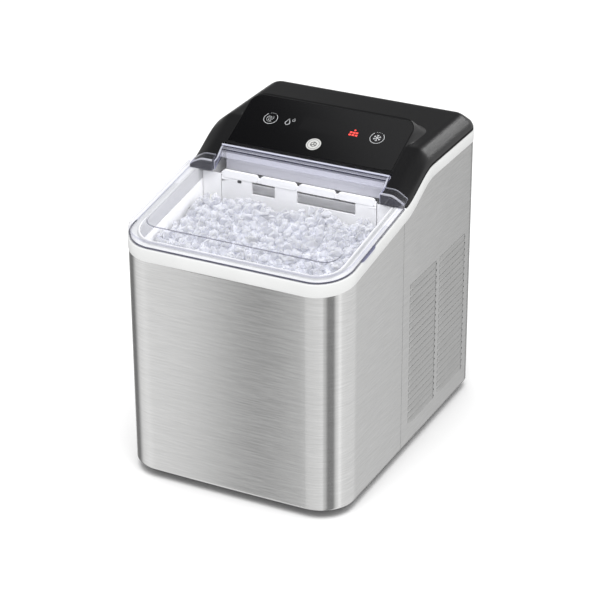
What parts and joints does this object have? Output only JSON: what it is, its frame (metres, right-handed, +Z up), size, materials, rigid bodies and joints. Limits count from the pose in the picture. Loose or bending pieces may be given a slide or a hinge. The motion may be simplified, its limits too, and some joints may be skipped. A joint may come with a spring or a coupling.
{
  "type": "ice maker",
  "caption": "Countertop ice maker: brushed steel body with louvered sides, clear sloping lid over an ice basket, raised black control console and a working cooling unit inside.",
  "frame": {"origin": "middle of the footprint, on the surface the feet stand on", "axes": "+X to the right seen from the front, +Y from the front to the rear, +Z up"},
  "size_m": [0.225, 0.308, 0.3085],
  "materials": {
    "brushed_steel": "brushed",
    "zinc_steel": "satin",
    "white_plastic": "gloss",
    "grey_plastic": "satin",
    "black_cover": "satin",
    "panel_gloss": "gloss",
    "black_plastic": "matte",
    "clear_plastic": "clear",
    "frosted_plastic": "satin",
    "rubber_feet": "matte",
    "foam": "matte",
    "copper": "satin",
    "nickel": "satin",
    "aluminium_fins": "satin",
    "circuit_board": "satin",
    "black_paint": "satin",
    "steel_pin": "polished",
    "float_red": "satin",
    "hose_silicone": "satin",
    "valve_blue": "satin"
  },
  "bodies": {
    "housing": {"front_panel": "brushed_steel", "side_panel_left": "brushed_steel", "side_panel_right": "brushed_steel", "rear_panel": "zinc_steel", "base_tray": "black_plastic", "foot_front_left": "rubber_feet", "foot_front_right": "rubber_feet", "foot_rear_left": "rubber_feet", "foot_rear_right": "rubber_feet", "top_frame": "white_plastic", "inner_liner": "white_plastic", "insulation": "foam", "top_cover": "black_cover", "panel_glass": "panel_gloss", "display_window": "black_plastic", "control_board": "circuit_board", "touch_springs": "steel_pin", "bin_fascia": "grey_plastic", "lid_pin_left": "steel_pin", "lid_pin_right": "steel_pin", "shovel_pins": "steel_pin", "evaporator": "nickel", "evaporator_bracket": "white_plastic", "tray_motor": "zinc_steel", "water_pump": "black_plastic", "water_hose": "hose_silicone", "drain_tube": "hose_silicone", "float_stem": "white_plastic", "ice_level_sensors": "black_plastic", "compressor": "black_paint", "compressor_mounts": "rubber_feet", "condenser_fins": "aluminium_fins", "condenser_coil": "copper", "fan_motor": "zinc_steel", "fan_shroud": "black_plastic", "filter_drier": "copper", "hot_gas_valve": "valve_blue", "refrigerant_pipes": "copper", "power_inlet": "black_plastic", "power_board": "circuit_board", "rear_screws": "steel_pin", "base_screws": "steel_pin"},
    "lid": {"lid": "clear_plastic"},
    "basket": {"ice_basket": "frosted_plastic"},
    "tray": {"water_tray": "white_plastic", "tray_shaft": "steel_pin"},
    "shovel": {"ice_shovel": "white_plastic"},
    "pump_rotor": {"pump_impeller": "white_plastic"},
    "float": {"float_ring": "float_red"},
    "fan": {"fan_blades": "black_plastic"},
    "drain_plug": {"drain_plug": "rubber_feet"}
  },
  "joints": [
    {"name": "lid_hinge", "type": "hinge", "parent": "housing", "child": "lid", "pos_m": [0, -0.002, 0.27], "axis": [-1, 0, 0], "range_deg": [0, 100]},
    {"name": "basket_lift", "type": "slide", "parent": "housing", "child": "basket", "axis": [0, 0, 1], "range_m": [0, 0.008]},
    {"name": "tray_tilt", "type": "hinge", "parent": "housing", "child": "tray", "pos_m": [0, 0.0215, 0.244], "axis": [1, 0, 0], "range_deg": [0, 70]},
    {"name": "shovel_swing", "type": "hinge", "parent": "housing", "child": "shovel", "pos_m": [0, -0.008, 0.25], "axis": [-1, 0, 0], "range_deg": [0, 25]},
    {"name": "pump_spin", "type": "hinge", "parent": "housing", "child": "pump_rotor", "pos_m": [-0.062, -0.042, 0.04], "axis": [0, 0, 1], "continuous": true},
    {"name": "float_slide", "type": "slide", "parent": "housing", "child": "float", "axis": [0, 0, 1], "range_m": [0, 0.028]},
    {"name": "fan_spin", "type": "hinge", "parent": "housing", "child": "fan", "pos_m": [0.077, 0.061, 0.1], "axis": [1, 0, 0], "continuous": true},
    {"name": "drain_plug_pull", "type": "slide", "parent": "housing", "child": "drain_plug", "axis": [0, 1, 0], "range_m": [0, 0.018]}
  ],
  "couplings": [
    {"joint": "shovel_swing", "follows": "tray_tilt", "ratio": 0.35714}
  ]
}
